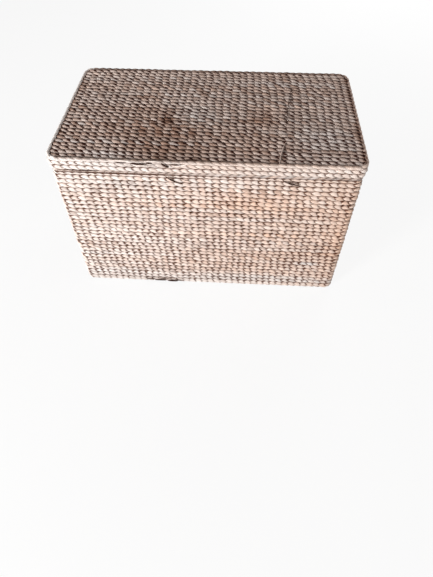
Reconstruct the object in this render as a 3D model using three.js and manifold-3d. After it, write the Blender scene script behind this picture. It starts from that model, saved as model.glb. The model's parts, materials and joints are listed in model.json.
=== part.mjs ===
// Woven lidded box: a chest of twined plant stems on a frame of thin steel rod.
// Millimetres, Z up. The front faces -Y, and the origin is the middle of the footprint, on the floor.
import * as THREE from "three";
import { mergeVertices } from "three/addons/utils/BufferGeometryUtils.js";
import Module from "manifold-3d";

const wasm = await Module();
wasm.setup();

// Driving dimensions
const WIDTH = 800;              // left to right, over the weave
const DEPTH = 450;              // front to back, over the weave
const HEIGHT = 480;             // floor to the crown of the lid
const LID_HEIGHT = 46;          // seam to the crown of the lid
const WALL = 14;                // woven wall, crest to crest
const INSIDE_RADIUS = 6;        // upright corner, on the inside of the wall
const COURSE_HEIGHT = 14.4;     // one row of twining on the walls
const COURSE_BULGE = 2.6;       // how far a row stands out from the line between two rows
const TOP_COURSE_WIDTH = 15.5;  // one row of twining on the top and floor panels
const TOP_PANEL = 12;           // woven top of the lid, crest to crest
const FLOOR_PANEL = 12;         // woven floor, crest to crest
const ROD = 5;                  // diameter of every frame rod
const BINDING = 1.4;            // thickness of the binding wound on a rod
const STRETCHER_SPACING = 220;  // between the rods that carry the floor and the top
const HINGE_SPACING = 480;      // between the two hinge rings
const HINGE_WIRE = 2.4;         // diameter of the ring's wire
const HINGE_PLAY = 0.4;         // running gap between a rod and the ring round it
const OPEN_ANGLE = 105;         // how far the lid swings back, in degrees
const SEAM = 0.4;               // gap between the lid's border and the rim's border
const FIT = 0.3;                // gap between pieces that touch

// Facets of the round shapes
const ROD_SIDES = 8;
const BORDER_SIDES = 12;
const WIRE_SIDES = 8;
const CORNER_STEP = 30;
const RING_STEP = 30;

// Sizes that follow from the ones above
const OUTSIDE_RADIUS = INSIDE_RADIUS + WALL;
const MID_WALL = WALL / 2;
const BORDER_RADIUS = ROD / 2 + FIT + BINDING;
const SEAM_HEIGHT = HEIGHT - LID_HEIGHT;
const BASE_ROD_HEIGHT = BORDER_RADIUS;
const RIM_ROD_HEIGHT = SEAM_HEIGHT - SEAM / 2 - BORDER_RADIUS;
const LID_ROD_HEIGHT = SEAM_HEIGHT + SEAM / 2 + BORDER_RADIUS;
const TOP_PANEL_UNDERSIDE = HEIGHT - TOP_PANEL;
const HINGE_Y = DEPTH / 2 - MID_WALL;
const RING_RADIUS = ROD / 2 + HINGE_PLAY + HINGE_WIRE / 2;
const RING_SLOT = HINGE_WIRE + 2 * FIT;

const radians = THREE.MathUtils.degToRad;
const UP = new THREE.Vector3(0, 0, 1);

// A path with a station only where it bends. Each station has a position and an outward direction,
// and all of them share one binormal.
class StationPath extends THREE.Curve {
  constructor(stations, binormal) {
    super();
    this.stations = stations;
    this.binormal = binormal;
  }

  getSpacedPoints() {
    return this.stations.map((station) => station.position);
  }

  computeFrenetFrames() {
    const normals = this.stations.map((station) => station.outward);
    const binormals = this.stations.map(() => this.binormal);
    const tangents = normals.map((normal) => normal.clone().cross(this.binormal));
    return { tangents, normals, binormals };
  }
}

// A section carried along a path; the section's x points outward and its y along the binormal.
function sweep(section, stations, binormal) {
  const extrudePath = new StationPath(stations, binormal);
  return new THREE.ExtrudeGeometry(section, { steps: stations.length - 1, extrudePath });
}

// Stations round one corner of the rounded outline, from one compass angle to another.
function cornerStations(fromAngle, toAngle, inset, height, bend) {
  const middle = radians((fromAngle + toAngle) / 2);
  const centreX = Math.sign(Math.cos(middle)) * (WIDTH / 2 - inset - bend);
  const centreY = Math.sign(Math.sin(middle)) * (DEPTH / 2 - inset - bend);
  const steps = Math.ceil(Math.abs(toAngle - fromAngle) / CORNER_STEP);
  const stations = [];
  for (let step = 0; step <= steps; step += 1) {
    const angle = radians(fromAngle + ((toAngle - fromAngle) * step) / steps);
    const outward = new THREE.Vector3(Math.cos(angle), Math.sin(angle), 0);
    const position = new THREE.Vector3(centreX, centreY, height).addScaledVector(outward, bend);
    stations.push({ position, outward });
  }
  return stations;
}

// One station on the back run of the outline.
function backStation(x, inset, height) {
  const position = new THREE.Vector3(x, DEPTH / 2 - inset, height);
  return { position, outward: new THREE.Vector3(0, 1, 0) };
}

// The whole outline, clockwise from above, open by twice the given distance at the middle of the back.
function loopStations(openHalf, inset, height, bend) {
  return [
    backStation(openHalf, inset, height),
    ...cornerStations(90, 0, inset, height, bend),
    ...cornerStations(0, -90, inset, height, bend),
    ...cornerStations(-90, -180, inset, height, bend),
    ...cornerStations(180, 90, inset, height, bend),
    backStation(-openHalf, inset, height),
  ];
}

// A regular polygon whose flats touch the circle of the given radius.
function roundPoints(radius, sides) {
  const reach = radius / Math.cos(Math.PI / sides);
  const points = [];
  for (let side = 0; side < sides; side += 1) {
    const angle = ((side + 0.5) * 2 * Math.PI) / sides;
    points.push(new THREE.Vector2(reach * Math.cos(angle), reach * Math.sin(angle)));
  }
  return points;
}

function rodSection() {
  return new THREE.Shape(roundPoints((ROD / 2) * Math.cos(Math.PI / ROD_SIDES), ROD_SIDES));
}

function wireSection() {
  return new THREE.Shape(roundPoints((HINGE_WIRE / 2) * Math.cos(Math.PI / WIRE_SIDES), WIRE_SIDES));
}

// Binding round a rod: flat underneath, with a hole that the rod fills.
function borderSection() {
  const section = new THREE.Shape(roundPoints(BORDER_RADIUS, BORDER_SIDES));
  section.holes.push(new THREE.Path(roundPoints(ROD / 2 + FIT, ROD_SIDES)));
  return section;
}

// One face of a woven panel: a row of bulges along it, each in the given number of straight steps.
function bulgePoints(length, pitch, crest, steps) {
  const rows = Math.max(1, Math.round(length / pitch));
  const tallest = Math.sin(Math.PI * Math.floor(steps / 2) / steps);
  const points = [];
  for (let index = 0; index <= rows * steps; index += 1) {
    const rise = Math.sin((Math.PI * (index % steps)) / steps) / tallest;
    points.push(new THREE.Vector2(crest - COURSE_BULGE * (1 - rise), (length * index) / (rows * steps)));
  }
  return points;
}

// Section of a woven panel: rounded rows outside, plainer ridges inside.
function weaveSection(length, pitch, thickness) {
  const outer = bulgePoints(length, pitch, thickness / 2, 3);
  const inner = bulgePoints(length, pitch, thickness / 2, 2);
  const back = inner.map((point) => new THREE.Vector2(-point.x, point.y)).reverse();
  return new THREE.Shape([...outer, ...back]);
}

function toSolid(geometry) {
  const bare = geometry.clone();
  bare.deleteAttribute("normal");
  bare.deleteAttribute("uv");
  const merged = mergeVertices(bare);
  const mesh = new wasm.Mesh({
    numProp: 3,
    vertProperties: merged.attributes.position.array,
    triVerts: merged.index.array,
  });
  return new wasm.Manifold(mesh);
}

function toGeometry(solid) {
  const mesh = solid.getMesh();
  const geometry = new THREE.BufferGeometry();
  geometry.setAttribute("position", new THREE.BufferAttribute(mesh.vertProperties, 3));
  geometry.setIndex(new THREE.BufferAttribute(mesh.triVerts, 1));
  geometry.computeVertexNormals();
  return geometry;
}

function cut(geometry, tools) {
  let solid = toSolid(geometry);
  for (const tool of tools) {
    solid = solid.subtract(toSolid(tool));
  }
  return toGeometry(solid);
}

function standingCylinder(radius, bottom, top, x, y) {
  const geometry = new THREE.CylinderGeometry(radius, radius, top - bottom, ROD_SIDES);
  geometry.rotateX(Math.PI / 2);
  geometry.translate(x, y, (bottom + top) / 2);
  return geometry;
}

// A rod lying front to back.
function rodAlongDepth(x, height, length) {
  const geometry = new THREE.CylinderGeometry(ROD / 2, ROD / 2, length, ROD_SIDES);
  geometry.translate(x, 0, height);
  return geometry;
}

// A rod lying left to right.
function rodAlongWidth(y, height, length) {
  const geometry = new THREE.CylinderGeometry(ROD / 2, ROD / 2, length, ROD_SIDES);
  geometry.rotateZ(Math.PI / 2);
  geometry.translate(0, y, height);
  return geometry;
}

// Where the post of a corner stands: in the middle of the wall, on the corner's diagonal.
function postPlace(sideX, sideY) {
  const reach = (OUTSIDE_RADIUS - MID_WALL) * Math.SQRT1_2 - OUTSIDE_RADIUS;
  return [sideX * (WIDTH / 2 + reach), sideY * (DEPTH / 2 + reach)];
}

const CORNERS = {
  front_left: [-1, -1],
  front_right: [1, -1],
  back_left: [-1, 1],
  back_right: [1, 1],
};

// Channels that the corner posts stand in, between two rods.
function postChannels(bottom, top) {
  return Object.values(CORNERS).map(([sideX, sideY]) => {
    const [x, y] = postPlace(sideX, sideY);
    return standingCylinder(ROD / 2 + FIT, bottom, top, x, y);
  });
}

// Slots in a back panel that the hinge rings pass through.
function ringSlots(bottom, top) {
  return [-1, 1].map((side) => {
    const geometry = new THREE.BoxGeometry(RING_SLOT, 2 * WALL, top - bottom);
    geometry.translate((side * HINGE_SPACING) / 2, HINGE_Y, (bottom + top) / 2);
    return geometry;
  });
}

// Stations along the side that faces a compass angle, from mitre to mitre halfway round its corners.
function sideStations(facingAngle, height) {
  const bend = OUTSIDE_RADIUS - MID_WALL;
  const mitreAngle = 45 - THREE.MathUtils.radToDeg(FIT / 2 / bend);
  return [
    ...cornerStations(facingAngle + mitreAngle, facingAngle, MID_WALL, height, bend),
    ...cornerStations(facingAngle, facingAngle - mitreAngle, MID_WALL, height, bend),
  ];
}

// One woven side between two levels, channelled for the posts.
function wovenSide(facingAngle, bottom, top, channels) {
  const section = weaveSection(top - bottom, COURSE_HEIGHT, WALL);
  return cut(sweep(section, sideStations(facingAngle, bottom), UP), channels);
}

function roundedOutline(inset, radius) {
  const halfX = WIDTH / 2 - inset - radius;
  const halfY = DEPTH / 2 - inset - radius;
  const outline = new THREE.Shape();
  outline.absarc(halfX, halfY, radius, 0, Math.PI / 2);
  outline.absarc(-halfX, halfY, radius, Math.PI / 2, Math.PI);
  outline.absarc(-halfX, -halfY, radius, Math.PI, 1.5 * Math.PI);
  outline.absarc(halfX, -halfY, radius, 1.5 * Math.PI, 2 * Math.PI);
  return outline;
}

// A flat woven panel with its rows left to right, trimmed to the rounded outline. Its edges are rolled
// by the given radius.
function wovenPanel(inset, radius, underside, thickness, roll) {
  const section = weaveSection(DEPTH - 2 * inset, TOP_COURSE_WIDTH, thickness);
  const rows = new THREE.ExtrudeGeometry(section, { depth: WIDTH, bevelEnabled: false });
  rows.translate(0, inset - DEPTH / 2, -WIDTH / 2);
  const acrossBox = new THREE.Vector3(0, 1, 0);
  const alongRow = new THREE.Vector3(-1, 0, 0);
  rows.applyMatrix4(new THREE.Matrix4().makeBasis(UP, acrossBox, alongRow));
  rows.translate(0, 0, underside + thickness / 2);
  const trim = new THREE.ExtrudeGeometry(roundedOutline(inset, radius), {
    depth: thickness - 2 * roll,
    curveSegments: 3,
    bevelEnabled: roll > 0,
    bevelThickness: roll,
    bevelSize: roll,
    bevelOffset: -roll,
    bevelSegments: 2,
  });
  trim.translate(0, 0, underside + roll);
  return toGeometry(toSolid(rows).intersect(toSolid(trim)));
}

// A bent rod that follows the whole outline in the middle of the wall.
function frameLoop(height) {
  return sweep(rodSection(), loopStations(FIT / 2, MID_WALL, height, OUTSIDE_RADIUS - MID_WALL), UP);
}

// Binding along one side of a frame rod.
function borderSide(facingAngle, height, channels) {
  return cut(sweep(borderSection(), sideStations(facingAngle, height), UP), channels);
}

// Binding along the back, in three runs parted where the hinge rings pass.
function borderBackRuns(height, channels) {
  const stations = sideStations(90, height);
  const half = stations.length / 2;
  const outerEnd = HINGE_SPACING / 2 + RING_SLOT / 2;
  const innerEnd = HINGE_SPACING / 2 - RING_SLOT / 2;
  const runs = {
    back_left: [...stations.slice(0, half), backStation(-outerEnd, MID_WALL, height)],
    back_middle: [backStation(-innerEnd, MID_WALL, height), backStation(innerEnd, MID_WALL, height)],
    back_right: [backStation(outerEnd, MID_WALL, height), ...stations.slice(half)],
  };
  return Object.entries(runs).map(([name, run]) => [name, cut(sweep(borderSection(), run, UP), channels)]);
}

// Stations on an arc of the hinge ring, seen from the left end.
function ringArc(x, height, fromAngle, toAngle) {
  const steps = Math.ceil((toAngle - fromAngle) / RING_STEP);
  const stations = [];
  for (let step = 0; step <= steps; step += 1) {
    const angle = radians(fromAngle + ((toAngle - fromAngle) * step) / steps);
    const outward = new THREE.Vector3(0, Math.cos(angle), Math.sin(angle));
    const position = new THREE.Vector3(x, HINGE_Y, height).addScaledVector(outward, RING_RADIUS);
    stations.push({ position, outward });
  }
  return stations;
}

// A long wire ring round the rim rod and the lid rod; its ends meet underneath.
function hingeRing(x) {
  const splitAngle = THREE.MathUtils.radToDeg(FIT / 2 / RING_RADIUS);
  const stations = [
    ...ringArc(x, RIM_ROD_HEIGHT, 270 + splitAngle, 360),
    ...ringArc(x, LID_ROD_HEIGHT, 0, 180),
    ...ringArc(x, RIM_ROD_HEIGHT, 180, 270 - splitAngle),
  ];
  return sweep(wireSection(), stations, new THREE.Vector3(-1, 0, 0));
}

// How far above the lid rod the ring reaches into the lid's back while the lid swings open.
function ringReachInLid() {
  const ringOutside = RING_RADIUS + HINGE_WIRE / 2;
  const past = radians(Math.max(0, OPEN_ANGLE - 90));
  return MID_WALL * Math.tan(past) + ringOutside / Math.cos(past) + FIT;
}

const part = new THREE.Group();
part.name = "woven_lidded_box";

const FINISHES = {
  pale_stem: { color: 0xd3b79b, roughness: 0.85, metalness: 0 },
  weathered_stem: { color: 0x97816f, roughness: 0.9, metalness: 0 },
  binding: { color: 0xc4a685, roughness: 0.85, metalness: 0 },
  frame_steel: { color: 0x3d342d, roughness: 0.55, metalness: 0.6 },
  ring_wire: { color: 0x8c8a84, roughness: 0.4, metalness: 0.9 },
};

function addPiece(name, geometry, finish) {
  const mesh = new THREE.Mesh(geometry, new THREE.MeshStandardMaterial(FINISHES[finish]));
  mesh.name = name;
  part.add(mesh);
}

function addPosts(prefix, bottom, top) {
  for (const [corner, [sideX, sideY]] of Object.entries(CORNERS)) {
    const [x, y] = postPlace(sideX, sideY);
    addPiece(`${prefix}_${corner}`, standingCylinder(ROD / 2, bottom, top, x, y), "frame_steel");
  }
}

function addStretchers(prefix, height, length) {
  for (const [place, step] of [["left", -1], ["middle", 0], ["right", 1]]) {
    addPiece(`${prefix}_${place}`, rodAlongDepth(step * STRETCHER_SPACING, height, length), "frame_steel");
  }
}

const FACING_ANGLE = { front: -90, left: 180, back: 90, right: 0 };

// Four woven sides between two levels; the back one has slots for the hinge rings.
function addSides(prefix, bottom, top, channels, slots) {
  for (const [side, angle] of Object.entries(FACING_ANGLE)) {
    const cuts = side === "back" ? [...channels, ...slots] : channels;
    addPiece(`${prefix}${side}_weave`, wovenSide(angle, bottom, top, cuts), "pale_stem");
  }
}

// Binding round a frame rod that the hinge rings hold.
function addHingedBorder(prefix, height, channels) {
  for (const side of ["front", "left", "right"]) {
    addPiece(`${prefix}_${side}`, borderSide(FACING_ANGLE[side], height, channels), "binding");
  }
  for (const [run, geometry] of borderBackRuns(height, channels)) {
    addPiece(`${prefix}_${run}`, geometry, "binding");
  }
}

function addBox() {
  const bottom = BASE_ROD_HEIGHT + BORDER_RADIUS + FIT;
  const top = RIM_ROD_HEIGHT - BORDER_RADIUS - FIT;
  const channels = postChannels(BASE_ROD_HEIGHT, RIM_ROD_HEIGHT);
  const ringOutside = RING_RADIUS + HINGE_WIRE / 2;
  const slots = ringSlots(RIM_ROD_HEIGHT - ringOutside - FIT, RIM_ROD_HEIGHT);
  addSides("", bottom, top, channels, slots);
  addPosts("post", BASE_ROD_HEIGHT + ROD / 2 + FIT, RIM_ROD_HEIGHT - ROD / 2 - FIT);

  addPiece("base_rod", frameLoop(BASE_ROD_HEIGHT), "frame_steel");
  for (const [side, angle] of Object.entries(FACING_ANGLE)) {
    addPiece(`base_border_${side}`, borderSide(angle, BASE_ROD_HEIGHT, channels), "binding");
  }
  addStretchers("base_stretcher", BASE_ROD_HEIGHT, DEPTH - 2 * (MID_WALL + BORDER_RADIUS + FIT));
  const floorUnderside = BASE_ROD_HEIGHT + ROD / 2 + FIT;
  const floor = wovenPanel(WALL + FIT, INSIDE_RADIUS, floorUnderside, FLOOR_PANEL, 0);
  addPiece("base_weave", floor, "pale_stem");

  addPiece("rim_rod", frameLoop(RIM_ROD_HEIGHT), "frame_steel");
  addHingedBorder("rim_border", RIM_ROD_HEIGHT, channels);
  addPiece("hinge_ring_left", hingeRing(-HINGE_SPACING / 2), "ring_wire");
  addPiece("hinge_ring_right", hingeRing(HINGE_SPACING / 2), "ring_wire");
}

// Four rods in the angle between the lid's top and its sides.
function addTopRods(height) {
  const inset = WALL + FIT + ROD / 2;
  const cornerRoom = WALL + INSIDE_RADIUS;
  for (const [place, side] of [["front", -1], ["back", 1]]) {
    const rod = rodAlongWidth(side * (DEPTH / 2 - inset), height, WIDTH - 2 * cornerRoom);
    addPiece(`lid_top_rod_${place}`, rod, "frame_steel");
  }
  for (const [place, side] of [["left", -1], ["right", 1]]) {
    const rod = rodAlongDepth(side * (WIDTH / 2 - inset), height, DEPTH - 2 * cornerRoom);
    addPiece(`lid_top_rod_${place}`, rod, "frame_steel");
  }
  addStretchers("lid_stretcher", height, DEPTH - 2 * (inset + ROD / 2 + FIT));
}

function addLid() {
  const bottom = LID_ROD_HEIGHT + BORDER_RADIUS + FIT;
  const top = TOP_PANEL_UNDERSIDE - FIT;
  const channels = postChannels(LID_ROD_HEIGHT, HEIGHT);
  const slots = ringSlots(LID_ROD_HEIGHT, LID_ROD_HEIGHT + ringReachInLid());
  addSides("lid_", bottom, top, channels, slots);
  addPosts("lid_post", LID_ROD_HEIGHT + ROD / 2 + FIT, top);
  const topPanel = wovenPanel(0, OUTSIDE_RADIUS, TOP_PANEL_UNDERSIDE, TOP_PANEL, TOP_PANEL * 0.4);
  addPiece("lid_top_weave", topPanel, "weathered_stem");

  addPiece("lid_rod", frameLoop(LID_ROD_HEIGHT), "frame_steel");
  addHingedBorder("lid_border", LID_ROD_HEIGHT, channels);
  addTopRods(top - ROD / 2);
}

addBox();
addLid();

export default part;
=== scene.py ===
"""Looks of a woven lidded chest: stems twined round stakes, bound edges and a worn top."""

import copy
import json
import math

import bpy
import numpy as np
from mathutils import Matrix, Vector


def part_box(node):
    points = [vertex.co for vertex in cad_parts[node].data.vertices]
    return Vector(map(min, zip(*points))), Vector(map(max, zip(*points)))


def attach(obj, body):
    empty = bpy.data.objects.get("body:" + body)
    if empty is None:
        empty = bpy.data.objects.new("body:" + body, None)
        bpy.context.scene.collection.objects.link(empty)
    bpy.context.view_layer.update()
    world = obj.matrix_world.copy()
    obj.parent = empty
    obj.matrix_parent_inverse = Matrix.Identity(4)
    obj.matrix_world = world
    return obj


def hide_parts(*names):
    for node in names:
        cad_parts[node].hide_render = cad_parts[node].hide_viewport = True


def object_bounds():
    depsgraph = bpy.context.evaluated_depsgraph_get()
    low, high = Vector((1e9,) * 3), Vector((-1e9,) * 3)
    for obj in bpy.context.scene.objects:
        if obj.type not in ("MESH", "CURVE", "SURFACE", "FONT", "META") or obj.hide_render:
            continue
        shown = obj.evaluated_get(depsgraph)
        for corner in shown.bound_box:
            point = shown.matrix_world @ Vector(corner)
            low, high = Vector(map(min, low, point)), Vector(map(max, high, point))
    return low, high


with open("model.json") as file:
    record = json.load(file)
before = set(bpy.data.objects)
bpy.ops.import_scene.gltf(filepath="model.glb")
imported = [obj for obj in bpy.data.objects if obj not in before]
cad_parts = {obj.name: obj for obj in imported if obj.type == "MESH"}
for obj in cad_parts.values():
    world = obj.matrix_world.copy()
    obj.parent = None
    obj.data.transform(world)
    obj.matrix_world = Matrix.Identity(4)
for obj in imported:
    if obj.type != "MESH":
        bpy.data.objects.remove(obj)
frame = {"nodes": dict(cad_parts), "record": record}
cad_low, cad_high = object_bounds()

MM = 0.001
SEED = 41
RANDOM = np.random.default_rng(SEED)


def middle(node):
    """The middle of a CAD node's box."""
    low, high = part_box(node)
    return (low + high) / 2


# Places taken from the frame
HALF_WIDTH = cad_high.x
HALF_DEPTH = cad_high.y
TOP = cad_high.z
BORDER_LOW, BORDER_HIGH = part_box("rim_border_right")
BORDER_RADIUS = (BORDER_HIGH.z - BORDER_LOW.z) / 2
HALF_WALL = HALF_WIDTH - (BORDER_HIGH.x - BORDER_RADIUS)
BASE_BORDER_HEIGHT = middle("base_border_front").z
RIM_HEIGHT = middle("rim_border_front").z
LID_BORDER_HEIGHT = middle("lid_border_front").z
WALL_LOW, WALL_HIGH = (corner.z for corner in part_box("front_weave"))
SKIRT_LOW, SKIRT_HIGH = (corner.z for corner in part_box("lid_front_weave"))
PANEL_LOW, PANEL_HIGH = (corner.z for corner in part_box("lid_top_weave"))
FLOOR_LOW, FLOOR_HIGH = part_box("base_weave")
RING_X = middle("hinge_ring_right").x
BACK_RUN_ENDS = (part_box("rim_border_back_middle")[1].x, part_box("rim_border_back_right")[0].x)

# Counts of the weave. The front, the skirt and the top are counted in the photo,
# and the ends and the floor are guessed.
WALL_COURSES = 29
SKIRT_COURSES = 2
TOP_COURSES = 28
TOP_STITCHES = 37
FLOOR_COURSES = 26
FLOOR_STITCHES = 36

# Stitch numbers of the corner posts, round from the front left one and back to it
POST_STITCHES = (0, 39, 60, 99, 120)
LOOP_STITCHES = POST_STITCHES[-1]

# Corners of the plan: side in X and Y, first and last facing in degrees.
# The way round starts and ends in the middle of the front left corner.
CORNER_RADIUS = 13 * MM
CORNER_STEP = 7.5
CORNER_TURNS = (
    (-1, -1, -135, -90),
    (1, -1, -90, 0),
    (1, 1, 0, 90),
    (-1, 1, 90, 180),
    (-1, -1, 180, 225),
)
POST_FACINGS = np.radians((-135, -45, 45, 135, 225))

# One stitch: a stem is flat where it passes a stake, pinched where two stems cross and thin at a post
STEPS = 8
SIDES = 8
PAD_REACH = 0.44
CROSS_SWELL = 1.14
SWING_POWER = 0.55
CLIMB_POWER = 1.3
TAPER_POWER = 0.8
POST_THINNING = 0.24
POST_REACH = 0.5

# Painted shade on the upper side of a stem where it tucks under the next: beside its tail and its head
TUCK_SPREAD = 0.4
TAIL_PLACE = 0.37
HEAD_PLACE = 1.4
TUCK_MIDDLE = 0.4
TUCK_LEAN = 0.9
# The lower side of a stem, where the light falls, gets less of the painted crevice shade
LOWER_SIDE_LESS_SHADE = 0.15

# How far stems stray from a perfect weave; a patch is a number of stitches that stray alike.
# Waves: turns round the walls, lean from course to course, and height (in stitches for the columns).
SIZE_SPREAD = 0.14
LIFT_SPREAD = 0.06
PLACE_SPREAD = 0.12
PLACE_PATCH = 2
LEAN_SPREAD = 0.45
COURSE_WAVES = ((3, 0.33, 0.9 * MM), (7, -0.52, 0.7 * MM), (16, 0.9, 0.5 * MM), (37, 1.7, 0.35 * MM))
COLUMN_WAVES = ((2, 0.16, 0.13), (5, -0.29, 0.1), (11, 0.45, 0.05))
EDGE_COURSES = 2.5
END_STITCHES = 2.0

RIGHT = np.array((1.0, 0.0, 0.0))
BACK = np.array((0.0, 1.0, 0.0))
UP = np.array((0.0, 0.0, 1.0))


def unit(vectors):
    """Vectors brought to length one."""
    return vectors / np.linalg.norm(vectors, axis=-1, keepdims=True)


def bell(away, reach):
    """A soft peak of height one."""
    return np.exp(-(away / reach) ** 2)


class Loop:
    """A level rounded rectangle, followed counter-clockwise from its front left corner."""

    def __init__(self, inset, radius):
        reach = np.array((HALF_WIDTH, HALF_DEPTH)) - inset - radius
        points = []
        facings = []
        for side_x, side_y, first, last in CORNER_TURNS:
            facing = np.radians(np.arange(first, last + CORNER_STEP / 2, CORNER_STEP))
            corner = reach * (side_x, side_y)
            points.append(corner + radius * np.column_stack((np.cos(facing), np.sin(facing))))
            facings.append(facing)
        self.points = np.concatenate(points)
        self.facings = np.concatenate(facings)
        steps = np.linalg.norm(np.diff(self.points, axis=0), axis=1)
        self.runs = np.concatenate(([0], np.cumsum(steps)))
        self.length = self.runs[-1]

    def at(self, run, height):
        """Points at that height and outward directions, for running lengths along the loop."""
        run = np.mod(run, self.length)
        x = np.interp(run, self.runs, self.points[:, 0])
        y = np.interp(run, self.runs, self.points[:, 1])
        facing = np.interp(run, self.runs, self.facings)
        point = np.column_stack((x, y, np.broadcast_to(height, x.shape)))
        out = np.column_stack((np.cos(facing), np.sin(facing), np.zeros_like(x)))
        return point, out

    def run_of_stitch(self, stitch):
        """Running lengths of stitch numbers, with the corner posts at whole stitches."""
        posts = np.interp(POST_FACINGS, self.facings, self.runs)
        return np.interp(np.mod(stitch, LOOP_STITCHES), POST_STITCHES, posts)


WALL_LOOP = Loop(HALF_WALL, CORNER_RADIUS)


class Stem:
    """A bent stem: rings of points along it, with its lay, its colour and its painted shade at each
    point.
    """

    count = 0

    def __init__(self, centre, up, half_out, half_up, lift, reach, tuck, tone, warm, fade=0.0):
        """A stem of half sizes half_out and half_up round the line centre.

        lift is the distance of centre from the middle of the weave, and reach half the weave's
        thickness; from these comes painted crevice shade, darker deep in the weave. tuck adds
        painted shade where the stem tucks under the next, tone and warm are the colour, and the
        last argument paints shade on the upper side and a highlight on the lower side.
        """
        along = unit(np.gradient(centre, axis=0))
        across = unit(up - along * np.sum(up * along, axis=1, keepdims=True))
        out = np.cross(along, across)
        turn = np.arange(SIDES) * 2 * math.pi / SIDES
        shift_out = np.outer(half_out, np.cos(turn))
        shift_up = np.outer(half_up, np.sin(turn))
        self.rings = centre[:, None] + out[:, None] * shift_out[..., None]
        self.rings += across[:, None] * shift_up[..., None]
        steps = np.linalg.norm(np.diff(centre, axis=0), axis=1)
        self.travel = np.concatenate(([0], np.cumsum(steps)))
        Stem.count += 1
        lay = (self.travel + Stem.count)[:, None] + np.zeros(SIDES)
        self.fibre = np.stack((lay, shift_out, shift_up), axis=2)
        # depth sets the painted crevice shade: darker deep in the weave, less on the lower side, more
        # where the stem tucks under
        depth = np.abs(lift[:, None] + shift_out) / reach
        depth += LOWER_SIDE_LESS_SHADE * np.clip(-np.sin(turn), 0, 1)
        depth -= np.outer(tuck, np.clip(TUCK_MIDDLE + TUCK_LEAN * np.sin(turn), 0, 1))
        # Painted shade on the upper side of the stem and painted highlight on its lower side
        tones = tone[:, None] - fade * np.sin(turn)
        self.shade = np.stack((tones, warm[:, None] + 0 * depth, depth), axis=2)

    def part(self, first, last):
        """The rings from first to last, as a stem of its own."""
        piece = copy.copy(self)
        keep = slice(first, last + 1)
        piece.rings = self.rings[keep].copy()
        piece.travel = self.travel[keep]
        piece.fibre = self.fibre[keep]
        piece.shade = self.shade[keep]
        return piece


# Where stems lie in a piece's texture: each has a strip, and its two cut ends lie beside it
STRIP_LEFT = 0.005
STRIP_WIDTH = 0.94
STRIP_FILL = 0.92
CAP_PLACES = (0.962, 0.985)
CAP_REACH = 0.008


class Bundle:
    """Stems that make up one piece."""

    def __init__(self):
        self.stems = []

    def add(self, stem):
        self.stems.append(stem)

    def faces_and_map(self, number, first_point):
        """The faces of one stem and the texture places of their corners."""
        stem = self.stems[number]
        rings = len(stem.rings)
        ring, side = np.meshgrid(np.arange(rings - 1), np.arange(SIDES), indexing="ij")
        corner = first_point + ring * SIDES + side
        beside = first_point + ring * SIDES + (side + 1) % SIDES
        quads = np.stack((corner, corner + SIDES, beside + SIDES, beside), axis=2).reshape(-1, 4)
        strip = 1 / len(self.stems)
        travel = stem.travel - stem.travel[0]
        u = STRIP_LEFT + STRIP_WIDTH * travel / travel[-1]
        v = strip * (number + (1 - STRIP_FILL) / 2 + STRIP_FILL * np.arange(SIDES + 1) / SIDES)
        us = np.stack((u[ring], u[ring + 1], u[ring + 1], u[ring]), axis=2)
        vs = np.stack((v[side], v[side], v[side + 1], v[side + 1]), axis=2)
        places = [np.stack((us, vs), axis=3).reshape(-1, 2)]
        start_cap = first_point + np.arange(SIDES)
        end_cap = start_cap[::-1] + (rings - 1) * SIDES
        turn = np.arange(SIDES) * 2 * math.pi / SIDES
        for place in CAP_PLACES:
            cap_u = place + CAP_REACH * np.cos(turn)
            cap_v = strip * (number + 0.5 + STRIP_FILL / 2 * np.sin(turn))
            places.append(np.column_stack((cap_u, cap_v)))
        return quads.tolist(), [start_cap.tolist(), end_cap.tolist()], places

    def piece(self, name, material, body, slot, nodes=()):
        """Makes the piece, sets it on its body and hides the CAD nodes that it stands for."""
        faces = []
        smooth = []
        places = []
        first_point = 0
        for number, stem in enumerate(self.stems):
            quads, caps, stem_places = self.faces_and_map(number, first_point)
            faces += quads + caps
            smooth += [True] * len(quads) + [False] * len(caps)
            places += stem_places
            first_point += len(stem.rings) * SIDES
        mesh = bpy.data.meshes.new(name)
        points = np.concatenate([stem.rings.reshape(-1, 3) for stem in self.stems])
        mesh.from_pydata(points.tolist(), [], faces)
        mesh.polygons.foreach_set("use_smooth", smooth)
        layer = mesh.uv_layers.new(name="OFBake")
        layer.uv.foreach_set("vector", np.concatenate(places).ravel().astype(np.float32))
        for kind in ("fibre", "shade"):
            values = np.concatenate([getattr(stem, kind).reshape(-1, 3) for stem in self.stems])
            attribute = mesh.attributes.new(kind, "FLOAT_VECTOR", "POINT")
            attribute.data.foreach_set("vector", values.ravel().astype(np.float32))
        mesh.update()
        mesh.materials.append(material)
        piece = bpy.data.objects.new(name, mesh)
        bpy.context.scene.collection.objects.link(piece)
        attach(piece, body)
        if nodes:
            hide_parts(*nodes)


def drift(stitch, spacing):
    """Seeded noise along a course that changes every few stitches and closes round the loop."""
    knots = np.arange(0, LOOP_STITCHES, spacing)
    return np.interp(stitch, knots, RANDOM.standard_normal(len(knots)), period=LOOP_STITCHES)


def waves(stitch, row, terms):
    """Slow swells that neighbouring courses share."""
    total = np.zeros_like(stitch)
    for turns, lean, height in terms:
        total += height * np.sin(2 * math.pi * turns * stitch / LOOP_STITCHES + lean * row + turns)
    return total


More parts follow.
